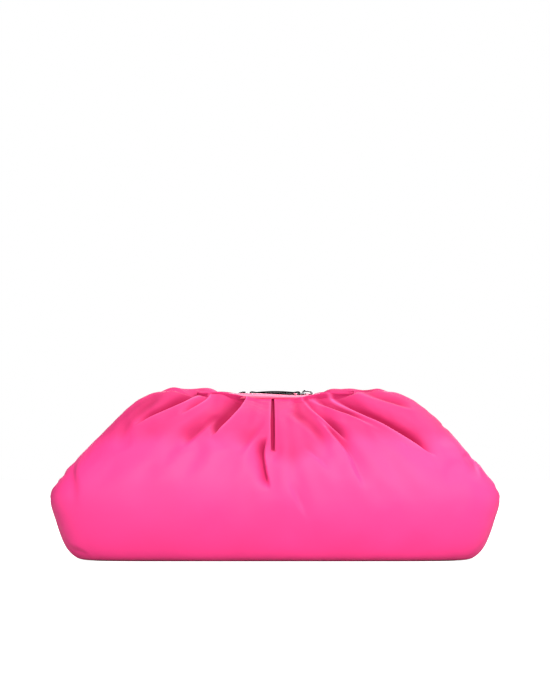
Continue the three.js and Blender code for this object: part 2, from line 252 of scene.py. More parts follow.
# The sewn line of the side seams: its groove, the uneven puckers beside it, and where both grow and die out,
# as shares of the way up.
GROOVE_DEPTH = 1.3
GROOVE_WIDTH = 1.9
PUCKER_HEIGHT = 0.22
PUCKER_LENGTH = 14.0
PUCKER_REACH = 10.0
PUCKER_DRIFT = 1.5
PUCKER_DRIFT_LENGTH = 13
SEWN_GROWS = (0, 0.08)
SEWN_EASE = (0.88, 0.96)

# The cloth settles in a simulation, a little larger than its space and under the pressure of the wadding.
# Below: how many frames it gets, how finely it is divided there, and how far a wrinkle may move the cloth.
SETTLE_CLOTH = {
    "quality": 6,
    "mass": 0.1,
    "tension_stiffness": 20,
    "compression_stiffness": 20,
    "shear_stiffness": 8,
    "bending_stiffness": 3,
    "shrink_min": -0.012,
    "use_pressure": True,
    "uniform_pressure_force": 2.0,
}
SETTLE_FRAMES = 18
SETTLE_COLUMNS = 160
SETTLE_ROWS = 80
SETTLE_REACH = 1.2
# Only moves between these reaches, in columns and rows, count as wrinkles.
WRINKLE_FINE = 2
WRINKLE_BROAD = 16
# Where the cloth is held while it settles: shares of the way across at the seams, shares of the way up at the
# base and the mouth, and depths of folds, which are held less firmly.
HELD_SEAM = (0.95, 1)
HELD_BASE = (0, 0.06)
HELD_MOUTH = (0.88, 0.96)
HELD_FOLD = (0.5, 2.5)
HELD_FOLD_SHARE = 0.6
# The share of the wrinkles that the plain lower part has, and where on the way up it grows to 1.
WRINKLE_LOW = 0.3
WRINKLE_GROWS = (0.4, 0.6)

# How finely the cloth is divided. Its inside is divided coarser, and follows the folds this many columns and
# rows wider and softer, so that it stays clear of the outside.
COLUMNS = 400
ROWS = 190
INSIDE_ROWS = 40
LINING_CLEAR = 7
LINING_SOFT = 5
# The rows are closer together in the gathers and at the mouth: from which shares of the way up, and how much.
GATHER_ROWS = (0.42, 0.55)
MOUTH_ROWS = (0.84, 0.9)
MOUTH_CLOSENESS = 4

# How finely the other pieces are divided, and lines that are measured.
RIM_COLUMNS = 220
BASE_COLUMNS = 160
BASE_RINGS = 40
STRAP_STEPS = 320
LOOP_STEPS = 64
WIRE_SIDES = 16
MEASURED_STEPS = 4001


# Shared arithmetic


def smoothstep(x, low, high):
    t = np.clip((x - low) / (high - low), 0, 1)
    return t * t * (3 - 2 * t)


def bell(distance, width):
    return np.exp(-((distance / width) ** 2))


def unit(vectors):
    return vectors / np.linalg.norm(vectors, axis=-1, keepdims=True)


def spline(points, t):
    """Points at shares t along a smooth curve through the given points."""
    points = np.asarray(points, float)
    last = len(points) - 1
    place = np.clip(np.asarray(t, float) * last, 0, last)
    i = np.minimum(place.astype(int), last - 1)
    w = (place - i)[..., None]
    before, a, b, after = (points[np.clip(i + k, 0, last)] for k in (-1, 0, 1, 2))
    slope_a = (b - before) / 2
    slope_b = (after - a) / 2
    cubic = (2 * a - 2 * b + slope_a + slope_b) * w**3
    return cubic + (-3 * a + 3 * b - 2 * slope_a - slope_b) * w**2 + slope_a * w + a


def lengths_along(points):
    """Running length along a line of points."""
    steps = np.linalg.norm(np.diff(points, axis=0), axis=1)
    return np.concatenate([[0], np.cumsum(steps)])


def at_even_lengths(points, count, closed=False):
    """The same line as count points at even distances. A closed line doesn't repeat its first point."""
    length = lengths_along(points)
    even = np.linspace(0, length[-1], count, endpoint=not closed)
    return np.stack([np.interp(even, length, points[:, k]) for k in range(points.shape[1])], axis=1)


def blur(values, reach):
    """Values of a grid, each averaged with its neighbours up to reach away both ways."""
    window = 2 * reach + 1
    for axis in (0, 1):
        margin = [(0, 0), (0, 0)]
        margin[axis] = (reach + 1, reach)
        total = np.cumsum(np.pad(values, margin, mode="edge"), axis=axis)
        count = values.shape[axis]
        ends = np.take(total, np.arange(count) + window, axis=axis)
        starts = np.take(total, np.arange(count), axis=axis)
        values = (ends - starts) / window
    return values


def lowest_near(values, reach):
    """Values of a grid, each lowered to its lowest neighbour up to reach away both ways."""
    for axis in (0, 1):
        values = np.min([np.roll(values, shift, axis) for shift in range(-reach, reach + 1)], axis=0)
    return values


def ripples(x, z, wavelength, seed):
    """Soft uneven waves between about -1 and 1, the same on every run."""
    rng = np.random.default_rng(seed)
    total = np.zeros(x.shape)
    for _ in range(RIPPLES):
        heading = rng.uniform(0, 2 * math.pi)
        turn = 2 * math.pi / (wavelength * rng.uniform(*RIPPLE_LENGTHS))
        phase = rng.uniform(0, 2 * math.pi)
        total += np.cos(turn * (x * math.cos(heading) + z * math.sin(heading)) + phase)
    return total / math.sqrt(RIPPLES)


# The plain outside form of the bag

SEAM_LINE = [(s.seam_x, s.seam_z) for s in SECTIONS]
FACE_LINE = [(s.face_y, s.face_z) for s in SECTIONS]


def square_at(up):
    return np.interp(up, np.linspace(0, 1, len(SECTIONS)), [s.square for s in SECTIONS])


def ring_shares(angle, square):
    """How far across and how deep a boxy ring is at an angle, as shares of its half width and half depth."""
    c, s = np.cos(angle), np.sin(angle)
    reach = (np.abs(c) ** square + np.abs(s) ** square) ** (-1 / square)
    return reach * c, reach * s


def plain_points(facing, angle, up):
    """Points of the front or the back. The angle is pi at the left seam and 0 at the right one."""
    seam = spline(SEAM_LINE, up)
    face = spline(FACE_LINE, up)
    across, depth = ring_shares(angle, square_at(up))
    rise = np.abs(across) ** RISE_POWER
    x = seam[..., 0] * across
    for dent in SEAM_DENTS:
        own_side = (across * dent.side > 0) * bell(depth, SEAM_DENT_REACH)
        x = x - dent.side * dent.depth * (own_side * bell(seam[..., 1] - dent.z, dent.half_height))
    y = facing * face[..., 0] * depth
    z = face[..., 1] * (1 - rise) + seam[..., 1] * rise
    return np.stack(np.broadcast_arrays(x, y, z), axis=-1)


def even_angles(count):
    """Angles that divide the ring at the belly into equal lengths."""
    dense = np.linspace(math.pi, 0, MEASURED_STEPS)
    across, depth = ring_shares(dense, BELLY.square)
    length = lengths_along(np.stack([BELLY.seam_x * across, BELLY.face_y * depth], axis=1))
    return np.interp(np.linspace(0, length[-1], count + 1), length, dense)


def even_ups(count):
    """Shares of the way up, evenly along the cloth, but closer in the gathers and closest at the mouth."""
    dense = np.linspace(0, 1, MEASURED_STEPS)
    length = lengths_along(spline(SEAM_LINE, dense)) + lengths_along(spline(FACE_LINE, dense))
    closeness = 1 + smoothstep(dense, *GATHER_ROWS) + MOUTH_CLOSENESS * smoothstep(dense, *MOUTH_ROWS)
    spread = np.concatenate([[0], np.cumsum(np.diff(length) * closeness[1:])])
    return np.interp(np.linspace(0, spread[-1], count + 1), spread, dense)


def outward_of(points, facing):
    """Outward directions of a grid of columns and rows. Past a seam comes the mirrored column."""
    mirror = np.array([1, -1, 1])
    wide = np.concatenate([points[1:2] * mirror, points, points[-2:-1] * mirror])
    across = wide[2:] - wide[:-2]
    upward = np.gradient(points, axis=1)
    outward = unit(np.cross(across, upward)) * -facing
    outward[:, 0] = (0, 0, -1)
    outward[:, -1, 2] = 0
    return unit(outward)


# Folds, puffs and seams


def fold_shift(fold, x, z, deepest):
    """How far a fold lifts the cloth at each point, its pull along x and z, and its painted highlight on the
    edge.
    """
    dense = spline(fold.points, np.linspace(0, 1, 4 * FOLD_STEPS + 1))
    line = at_even_lengths(dense, FOLD_STEPS + 1)
    best = np.full(x.shape, np.inf)
    signed, place, side_x, side_z = (np.zeros(x.shape) for _ in range(4))
    for k in range(FOLD_STEPS):
        ax, az = line[k]
        bx, bz = line[k + 1] - line[k]
        length = math.hypot(bx, bz)
        ox, oz = x - ax, z - az
        share = np.clip((ox * bx + oz * bz) / length**2, 0, 1)
        distance = np.hypot(ox - share * bx, oz - share * bz)
        side = np.where(bx * oz - bz * ox >= 0, fold.raised, -fold.raised)
        nearer = distance < best
        best = np.where(nearer, distance, best)
        signed = np.where(nearer, distance * side, signed)
        place = np.where(nearer, (k + share) / FOLD_STEPS, place)
        side_x = np.where(nearer, -fold.raised * bz / length, side_x)
        side_z = np.where(nearer, fold.raised * bx / length, side_z)
    strength = 1 - smoothstep(place, fold.hold, 1)
    # Painted highlight along the turned edge of a fold that hangs over.
    edge = bell(signed - EDGE_HIGHLIGHT_PLACE, EDGE_HIGHLIGHT_WIDTH) * strength * fold.over / EDGE_HIGHLIGHT_FULL
    lip_strength = 1 - smoothstep(place, LIP_HOLD * fold.hold, 1)
    if fold.start > 0:
        grown = smoothstep(place, 0, fold.start)
        strength = strength * grown
        lip_strength = lip_strength * grown
    valley = deepest * np.tanh(fold.valley / deepest)
    drop = -valley * np.exp(-((np.abs(signed) / fold.drop_width) ** FOLD_CUSP)) * strength
    stand = fold.lip * bell(signed, fold.lip_width) * lip_strength
    cross = smoothstep(signed, -fold.edge, fold.edge)
    turn = signed / (OVERHANG_PLACE * fold.edge)
    pull = -OVERHANG_SCALE * fold.over * turn * np.exp(-(turn**2) / 2) * strength
    return drop * (1 - cross) + stand * cross, pull * side_x, pull * side_z, edge


def soft_waves(x, z, seed):
    """The cloth's own unevenness, and long soft waves that fan out from the mouth and fade to the base."""
    fan = np.arctan2(x, FAN_TOP - z) * FAN_WIDTH
    reach = np.hypot(x, FAN_TOP - z) * FAN_STRETCH
    fanned = FAN_HEIGHT * ripples(fan, reach, FAN_LENGTH, seed + 1) * smoothstep(z, *FAN_GROWS)
    return WAVE_HEIGHT * ripples(x, z, WAVE_LENGTH, seed) + fanned


def cloth_shift(folds, puffs, points, across, up, seed):
    """How far folds and puffs bring the cloth out from the plain form, its sideways pull and the painted edge
    highlight.
    """
    x, z = points[..., 0], points[..., 2]
    deepest = np.minimum(DEEPEST, DEEPEST_SHARE * spline(FACE_LINE, up)[..., 0])
    height = soft_waves(x, z, seed)
    pull = np.zeros(points.shape)
    edge = np.zeros(x.shape)
    for fold in folds:
        lift, pull_x, pull_z, painted_edge_highlight = fold_shift(fold, x, z, deepest)
        edge = np.maximum(edge, painted_edge_highlight)
        height += lift
        pull[..., 0] += pull_x
        pull[..., 2] += pull_z
    most = MEETING_SHARE * deepest
    height = np.where(height < 0, -most * np.tanh(-height / most), height)
    swell = np.zeros(x.shape)
    for puff in puffs:
        swell += puff.height * bell(x - puff.x, puff.half_length) * bell(up - puff.up, PUFF_RISE)
    mouth = 1 - smoothstep(up, *MOUTH_EASE)
    seam = 1 - smoothstep(np.abs(across), *SEAM_EASE)
    ease = mouth * seam * smoothstep(up, *BASE_EASE)
    return height * ease, swell * ease, pull * ease[..., None], edge * ease


def bunch_share(x, up):
    """How much the cloth bunches up against the bound edge, from 0 to 1."""
    along = smoothstep(np.abs(x), *BUNCH_GROWS)
    return along * bell(up - BUNCH_UP, BUNCH_SPREAD) * (1 - smoothstep(up, *BUNCH_EASE))


def seam_shift(from_seam, upward, up):
    """The side seams: a narrow groove, with small puckers beside it."""
    drift = PUCKER_DRIFT * np.sin(upward / PUCKER_DRIFT_LENGTH)
    phase = 2 * math.pi * upward / PUCKER_LENGTH + drift
    beside = np.exp(-from_seam / PUCKER_REACH) * (1 - bell(from_seam, GROOVE_WIDTH))
    sewn = PUCKER_HEIGHT * np.sin(phase) * beside - GROOVE_DEPTH * bell(from_seam, GROOVE_WIDTH)
    return sewn * smoothstep(up, *SEWN_GROWS) * (1 - smoothstep(up, *SEWN_EASE))


# Meshes


def add_object(name, verts_mm, faces, material):
    """A mesh object. Its quads are smooth, and faces with other corners are flat."""
    mesh = bpy.data.meshes.new(name)
    mesh.from_pydata((np.asarray(verts_mm) * MM).tolist(), [], faces)
    mesh.polygons.foreach_set("use_smooth", [len(face) == 4 for face in faces])
    mesh.materials.append(material)
    mesh.update()
    piece = bpy.data.objects.new(name, mesh)
    bpy.context.scene.collection.objects.link(piece)
    return piece


def add_weave_map(piece, places_mm):
    """A map in metres along the cloth, one place per vertex, for the weave to follow."""
    mesh = piece.data
    corners = np.empty(len(mesh.loops), dtype=np.int32)
    mesh.loops.foreach_get("vertex_index", corners)
    layer = mesh.uv_layers.new(name="weave")
    layer.uv.foreach_set("vector", (places_mm[corners] * MM).astype(np.float32).ravel())


def grid_faces(columns, rows, first=0):
    """Quads of a grid whose points run up each column in turn."""
    i, j = np.meshgrid(np.arange(columns), np.arange(rows), indexing="ij")
    a = (first + i * (rows + 1) + j).ravel()
    return np.stack([a, a + rows + 1, a + rows + 2, a + 1], axis=1)


def strip_faces(one, other):
    """Quads between two lines of point numbers."""
    return np.stack([one[:-1], one[1:], other[1:], other[:-1]], axis=1)


def add_wall(name, outside, inside, flip, material):
    """A closed sheet between two grids of points with the same columns. The inside may have fewer rows."""
    columns, rows = outside.shape[0] - 1, outside.shape[1] - 1
    inside_rows = inside.shape[1] - 1
    first = outside.shape[0] * outside.shape[1]
    out_number = np.arange(first).reshape(outside.shape[:2])
    in_number = first + np.arange(inside.shape[0] * inside.shape[1]).reshape(inside.shape[:2])
    match = np.round(np.arange(rows + 1) * inside_rows / rows).astype(int)
    faces = [grid_faces(columns, rows), grid_faces(columns, inside_rows, first)[:, ::-1]]
    faces.append(strip_faces(in_number[:, 0], out_number[:, 0]))
    faces.append(strip_faces(out_number[:, -1], in_number[:, -1]))
    faces.append(strip_faces(out_number[0], in_number[0, match]))
    faces.append(strip_faces(in_number[-1, match], out_number[-1]))
    faces = np.concatenate(faces)
    faces = (faces[:, ::-1] if flip else faces).tolist()
    verts = np.concatenate([outside.reshape(-1, 3), inside.reshape(-1, 3)])
    return add_object(name, verts, [tuple(dict.fromkeys(face)) for face in faces], material)


def add_sweep(name, rings, closed, flip, material):
    """A tube through rings of points. An open one has flat ends."""
    count, sides = rings.shape[:2]
    number = np.arange(count * sides).reshape(count, sides)
    wrapped = np.concatenate([number, number[:, :1]], axis=1)
    if closed:
        wrapped = np.concatenate([wrapped, wrapped[:1]])
    corners = wrapped[:-1, :-1], wrapped[:-1, 1:], wrapped[1:, 1:], wrapped[1:, :-1]
    faces = np.stack([corner.ravel() for corner in corners], axis=1).tolist()
    if not closed:
        faces += [number[0, ::-1].tolist(), number[-1].tolist()]
    if flip:
        faces = [face[::-1] for face in faces]
    return add_object(name, rings.reshape(-1, 3), faces, material)


def on_own_side(points, facing):
    """The same points, with none past the plane of the side seams."""
    kept = points.copy()
    kept[..., 1] = facing * np.maximum(0, facing * kept[..., 1])
    return kept


def stretched(values, columns, rows):
    """Values at some columns and rows of a grid, filled in between to the whole grid."""
    wide = np.stack([np.interp(np.arange(columns[-1] + 1), columns, line) for line in values.T])
    return np.stack([np.interp(np.arange(rows[-1] + 1), rows, line) for line in wide.T])


def settled(points, outward, held, flip, material):
    """How far the cloth moves outwards when it settles between its sewn edges, from a simulation of a coarser
    copy. held is how firmly each place keeps still, from 0 to 1."""
    columns = np.round(np.linspace(0, COLUMNS, SETTLE_COLUMNS + 1)).astype(int)
    rows = np.round(np.linspace(0, ROWS, SETTLE_ROWS + 1)).astype(int)
    pick = np.ix_(columns, rows)
    start = points[pick].reshape(-1, 3)
    faces = grid_faces(SETTLE_COLUMNS, SETTLE_ROWS)
    cloth = add_object("settling_cloth", start, (faces[:, ::-1] if flip else faces).tolist(), material)
    group = cloth.vertex_groups.new(name="held")
    for number, weight in enumerate(held[pick].ravel()):
        group.add([number], float(weight), "REPLACE")
    settings = cloth.modifiers.new("settle", "CLOTH").settings
    settings.vertex_group_mass = "held"
    for setting, value in SETTLE_CLOTH.items():
        setattr(settings, setting, value)
    settings.effector_weights.gravity = 0
    scene = bpy.context.scene
    for number in range(1, SETTLE_FRAMES + 1):
        scene.frame_set(number)
    mesh = cloth.evaluated_get(bpy.context.evaluated_depsgraph_get()).data
    end = np.empty(len(start) * 3)
    mesh.vertices.foreach_get("co", end)
    scene.frame_set(1)
    bpy.data.objects.remove(cloth)
    moved = ((end.reshape(-1, 3) / MM - start) * outward[pick].reshape(-1, 3)).sum(axis=1)
    moved = stretched(moved.reshape(len(columns), len(rows)), columns, rows)
    broad = blur(blur(moved, WRINKLE_BROAD), WRINKLE_BROAD)
    wrinkles = blur(blur(moved, WRINKLE_FINE) - broad, WRINKLE_FINE)
    return SETTLE_REACH * np.tanh(wrinkles / SETTLE_REACH)


def wrinkle_height(points, outward, across, up, relief, flip, material):
    """Wrinkles of the settled cloth. The sewn edges have none, and the plain lower part has weaker ones."""
    edges = np.maximum(smoothstep(np.abs(across), *HELD_SEAM), 1 - smoothstep(up, *HELD_BASE))
    sewn_in = np.maximum(edges, smoothstep(up, *HELD_MOUTH))
    held = np.maximum(sewn_in, HELD_FOLD_SHARE * smoothstep(np.abs(relief), *HELD_FOLD))
    share = (1 - sewn_in) * (WRINKLE_LOW + (1 - WRINKLE_LOW) * smoothstep(up, *WRINKLE_GROWS))
    return settled(points, outward, held, flip, material) * share


def painted_shade_depth(plain, height, relief):
    """How deep the cloth counts as lying for its painted shade, below 0 in creases and gathers."""
    low = GATHER_LOW - GATHER_DIP * bell(plain[..., 0] - GATHER_DIP_X, GATHER_DIP_REACH)
    gathered = smoothstep(plain[..., 2], low, low + GATHER_RISE)
    depth = DEPTH_SHARE * np.minimum(height, LIP_SHADE)
    against = RELIEF_SHARE * np.minimum(relief, 2 * LIP_SHADE)
    return depth + against - GATHER_SHADE * gathered


def add_outside_values(panel, name, values):
    """Values at the points of a panel's outside, for its material. Its inside has 0."""
    filled = np.zeros(len(panel.data.vertices), dtype=np.float32)
    filled[: values.size] = values.ravel()
    layer = panel.data.attributes.new(name, "FLOAT", "POINT")
    layer.data.foreach_set("value", filled)


def add_panel(name, facing, folds, puffs, seed, material):
    """The front or the back: a padded wall, with folds, puffs, seams and wrinkles outside."""
    angle = even_angles(COLUMNS)[:, None]
    up = even_ups(ROWS)[None, :]
    plain = plain_points(facing, angle, up)
    outward = outward_of(plain, facing)
    across, _ = ring_shares(angle, square_at(up))
    along = np.linalg.norm(np.diff(plain, axis=0, prepend=plain[:1]), axis=2).cumsum(axis=0)
    upward = np.linalg.norm(np.diff(plain, axis=1, prepend=plain[:, :1]), axis=2).cumsum(axis=1)
    height, swell, pull, edge = cloth_shift(folds, puffs, plain, across, up, seed)
    sewn = seam_shift(np.minimum(along, along[-1] - along), upward, up)
    bunch = bunch_share(plain[..., 0], up)[..., None]
    height = height * (1 - BUNCH_COVER * bunch[..., 0])
    pull = pull * (1 - bunch)
    level = unit(outward * LEVEL_SHARES)
    swelled = plain + outward * swell[..., None]
    bunch_move = outward * BUNCH_OUT + (0, 0, BUNCH_HEIGHT[facing])
    bunched = swelled + outward * sewn[..., None] + bunch * bunch_move
    shaped = bunched + pull + level * height[..., None]
    relief = height - blur(blur(height, RELIEF_REACH), RELIEF_REACH)
    flip = facing == BACK
    wrinkles = wrinkle_height(shaped, outward, across, up, relief, flip, material)
    shaped = shaped + outward * wrinkles[..., None]
    outside = on_own_side(shaped, facing)

    inside_rows = np.round(np.linspace(0, ROWS, INSIDE_ROWS + 1)).astype(int)
    lining = blur(lowest_near(height, LINING_CLEAR), LINING_SOFT)
    lining[:, -1] = 0
    lined = swelled + level * lining[..., None] - outward * WALL
    inside = on_own_side(lined, facing)[:, inside_rows]
    panel = add_wall(name, outside, inside, flip, material)

    places = np.stack([along, upward], axis=-1)
    add_weave_map(panel, np.concatenate([places.reshape(-1, 2), places[:, inside_rows].reshape(-1, 2)]))
    # Painted shade for creases and gathers, and a painted highlight for fold edges, kept for the material.
    add_outside_values(panel, "crease", painted_shade_depth(plain, height, relief))
    add_outside_values(panel, "painted_edge_highlight", edge)
    return panel


def add_rim(name, facing, material):
    """The bound edge of the mouth: a band with a rounded top, over the panel's upper edge."""
    angle = even_angles(RIM_COLUMNS)[:, None]
    last_rows = np.array([[0.995, 1.0]])
    upper = plain_points(facing, angle, last_rows)
    outward = outward_of(upper, facing)[:, -1]
    edge = upper[:, -1]
    thick = WALL + 2 * RIM_PROUD
    shoulder = RIM_TOP - thick / 2
    turn = np.linspace(0, math.pi, 11)
    side = np.linspace(MOUTH.face_z, shoulder, 4)[:-1]
    swell = np.array([RIM_PROUD, RIM_PROUD / 3, 0])
    inward = np.concatenate([swell, thick / 2 * (1 - np.cos(turn)), thick - swell[::-1]]) - RIM_PROUD
    level = np.concatenate([side, shoulder + thick / 2 * np.sin(turn), side[::-1]])
    points = edge[:, None, :] - outward[:, None, :] * inward[None, :, None]
    sag = RIM_SAG * bell(edge[:, :1] - RIM_SAG_X, RIM_SAG_REACH) if facing == FRONT else 0
    points[..., 2] = MOUTH.face_z + (level - MOUTH.face_z) * (1 - sag)
    rim = add_sweep(name, on_own_side(points, facing), False, facing == FRONT, material)
    along = np.repeat(lengths_along(edge)[:, None], len(level), axis=1)
    round_it = np.broadcast_to(inward + level - MOUTH.face_z, along.shape)
    add_weave_map(rim, np.stack([along, round_it], axis=-1).reshape(-1, 2))
    return rim


def add_base(name, material):
    """The flat bottom panel, a thin slab with eased edges."""
    angle = even_angles(BASE_COLUMNS)
    front_half, back_half = (plain_points(facing, angle, np.zeros(1)) for facing in (FRONT, BACK))
    outline = np.concatenate([front_half, back_half[-2:0:-1]])[:, :2]
    size = np.array([SECTIONS[0].seam_x, SECTIONS[0].face_y])
    outline = outline * (size - GAP) / size
    edge_ease = 0.6
    innermost, ease_from = 0.02, 0.985
    share = np.linspace(innermost, 1, BASE_RINGS)
    rounded = edge_ease * smoothstep(share, ease_from, 1)
    scale = np.concatenate([share, share[::-1]])
    level = np.concatenate([rounded, WALL - rounded[::-1]])
    rings = np.empty((len(scale), len(outline), 3))
    rings[..., :2] = outline * scale[:, None, None]
    rings[..., 2] = level[:, None]
    base = add_sweep(name, rings, False, False, material)
    add_weave_map(base, rings.reshape(-1, 3)[:, :2])
    return base


# Strap, rings, links and staples


def add_wire(name, path, radius, closed, plane, material):
    """Round wire along a flat path. plane is the path's normal."""
    if closed:
        tangent = unit(np.roll(path, -1, axis=0) - np.roll(path, 1, axis=0))
    else:
        tangent = unit(np.gradient(path, axis=0))
    one = np.broadcast_to(unit(np.asarray(plane, float)), path.shape)
    other = np.cross(tangent, one)
    turn = np.linspace(0, 2 * math.pi, WIRE_SIDES, endpoint=False)
    spokes = one[:, None] * np.cos(turn)[None, :, None] + other[:, None] * np.sin(turn)[None, :, None]
    return add_sweep(name, path[:, None] + radius * spokes, closed, False, material)


def loop_path(loop):
    """The middle line of a wire loop with rounded corners, long along its first axis, as flat places."""
    reach = (np.array([loop.length, loop.width]) - WIRE) / 2 - loop.bend
    turn = np.linspace(0, 2 * math.pi, LOOP_STEPS, endpoint=False) + math.pi / LOOP_STEPS
    circle = np.stack([np.cos(turn), np.sin(turn)], axis=1)
    return circle * loop.bend + np.sign(circle) * reach


def add_strap_end(end, material):
    """A ring in the strap's fold, a link on the ring, and a staple that holds the link to the back rim."""

    def heading(angle):
        return np.array([math.cos(angle), math.sin(angle)])

    def placed(x, y, z):
        return np.stack([end.side * x, y, z], axis=1)

    fold = np.array([STRAP_REACH, STRAP_END_Z])
    span = RING.length - WIRE
    rise, down = heading(end.ring_tilt), heading(-end.link_drop)
    ring_middle = fold + rise * span / 2
    link_middle = fold + rise * span + down * (LINK.length / 2 - WIRE * 1.5 - GAP)
    link_far = link_middle + down * (LINK.length - WIRE) / 2

    flat = loop_path(RING)
    ring = ring_middle + flat[:, :1] * rise
    ring_path = placed(ring[:, 0], flat[:, 1], ring[:, 1])
    ring_plane = (-end.side * rise[1], 0, rise[0])
    ring_wire = add_wire("ring_wire_" + end.name, ring_path, WIRE / 2, True, ring_plane, material)

    flat = loop_path(LINK)
    link = link_middle + flat[:, :1] * down + flat[:, 1:] * np.array([-down[1], down[0]])
    link_path = placed(link[:, 0], 0 * link[:, 0], link[:, 1])
    link_wire = add_wire("link_wire_" + end.name, link_path, WIRE / 2, True, (0, 1, 0), material)

    clear = (WIRE + STAPLE_WIRE) / 2 + GAP
    rim_angle = np.arccos(np.clip(link_far[0] / MOUTH.seam_x, -1, 1))
    rim_inside = plain_points(BACK, rim_angle, np.ones(1))[0, 1] - WALL - GAP
    turn = np.linspace(0, math.pi, 25)
    leg_steps, leg_end = 8, 0.4
    legs = np.linspace(rim_inside, leg_end, leg_steps)
    bow_x = np.concatenate([[-clear] * leg_steps, -clear * np.cos(turn), [clear] * leg_steps])
    bow_y = np.concatenate([legs, -clear * np.sin(turn), legs[::-1]])
    staple = link_far + bow_x[:, None] * down
    staple_path = placed(staple[:, 0], bow_y, staple[:, 1])
    staple_plane = (end.side * -down[1], 0, down[0])
    staple_name = "anchor_wire_" + end.name
    staple_wire = add_wire(staple_name, staple_path, STAPLE_WIRE / 2, False, staple_plane, material)
    return {"strap_ring_": ring_wire, "chain_link_": link_wire, "chain_anchor_": staple_wire}


def strap_line():
    """The middle of the strap's layer: a loop along its top, round the right ring, back along its underside
    and round the left ring."""
    arch = (STRAP_REACH**2 + STRAP_BOW**2) / (2 * STRAP_BOW)
    centre = STRAP_END_Z + STRAP_BOW - arch
    spread = math.asin(STRAP_REACH / arch)

    def bow(angle, lift):
        return np.stack([(arch + lift) * np.sin(angle), centre + (arch + lift) * np.cos(angle)], axis=1)

    wrap = WIRE / 2 + GAP + STRAP_LAYER / 2
    between_layers = 0.1
    layer = (STRAP_LAYER + between_layers) / 2
    flat_share, flat_steps = 0.8, 40
    along = np.linspace(-flat_share, flat_share, flat_steps) * spread
    top = bow(along, layer)
    under = bow(-along, -layer)
    lean = math.pi / 2 - spread
    past_half = 0.1
    turn = np.linspace(lean + past_half, lean - math.pi - past_half, 24)
    eye = np.array([STRAP_REACH, STRAP_END_Z])
    right = eye + wrap * np.stack([np.cos(turn), np.sin(turn)], axis=1)
    left = (right * (-1, 1))[::-1]
    return np.concatenate([top, right, under, left, top[:1]])


def add_strap(name, material):
    """A strip with eased edges along the strap's line."""
    path = at_even_lengths(strap_line(), STRAP_STEPS, closed=True)
    smoothings = 6
    for _ in range(smoothings):
        path = (np.roll(path, 1, axis=0) + 2 * path + np.roll(path, -1, axis=0)) / 4
    tangent = unit(np.roll(path, -1, axis=0) - np.roll(path, 1, axis=0))
    normal = np.stack([-tangent[:, 1], tangent[:, 0]], axis=1)
    ease = 0.45
    half, thick = STRAP_WIDTH / 2, STRAP_LAYER / 2
    turn = np.linspace(0, math.pi / 2, 5)
    corner = np.stack([half - ease + ease * np.cos(turn), thick - ease + ease * np.sin(turn)], axis=1)
    section = np.concatenate(
        [corner, corner[::-1] * (-1, 1), corner * (-1, -1), corner[::-1] * (1, -1)]
    )
    rings = np.empty((len(path), len(section), 3))
    rings[..., 0] = path[:, :1] + normal[:, :1] * section[None, :, 1]
    rings[..., 1] = section[None, :, 0]
    rings[..., 2] = path[:, 1:] + normal[:, 1:] * section[None, :, 1]
    return add_sweep(name, rings, True, False, material)


# Materials

PINK = (0.7, 0.029, 0.183)
# A paler, glossier copy of the pink for the bound edge: its gloss is real, and its paler colour is partly a
# painted highlight.
SATIN_PINK_WITH_HIGHLIGHT = (0.85, 0.11, 0.22)
# Painted shade: the dark pink that creases and gathers turn to.
PAINTED_SHADE_PINK = (0.3, 0.001, 0.042, 1)
# Painted highlight: the paler pink of the turned edges of folds.
PAINTED_EDGE_HIGHLIGHT = (0.85, 0.09, 0.3, 1)
# How deep the cloth lies where its colour starts to turn into the painted shade of creases and where it ends,
# and the most that it turns.
PAINTED_SHADE_START = -0.6
PAINTED_SHADE_END = -7.5
PAINTED_SHADE_MOST = 0.9


def new_material(name):
    material = bpy.data.materials.new(name)
    material.use_nodes = True
    nodes = material.node_tree.nodes
    return material, nodes, material.node_tree.links, nodes["Principled BSDF"]


def set_ramp(ramp, low, low_colour, high, high_colour):
    first, last = ramp.color_ramp.elements
    first.position, first.color = low, low_colour
    last.position, last.color = high, high_colour


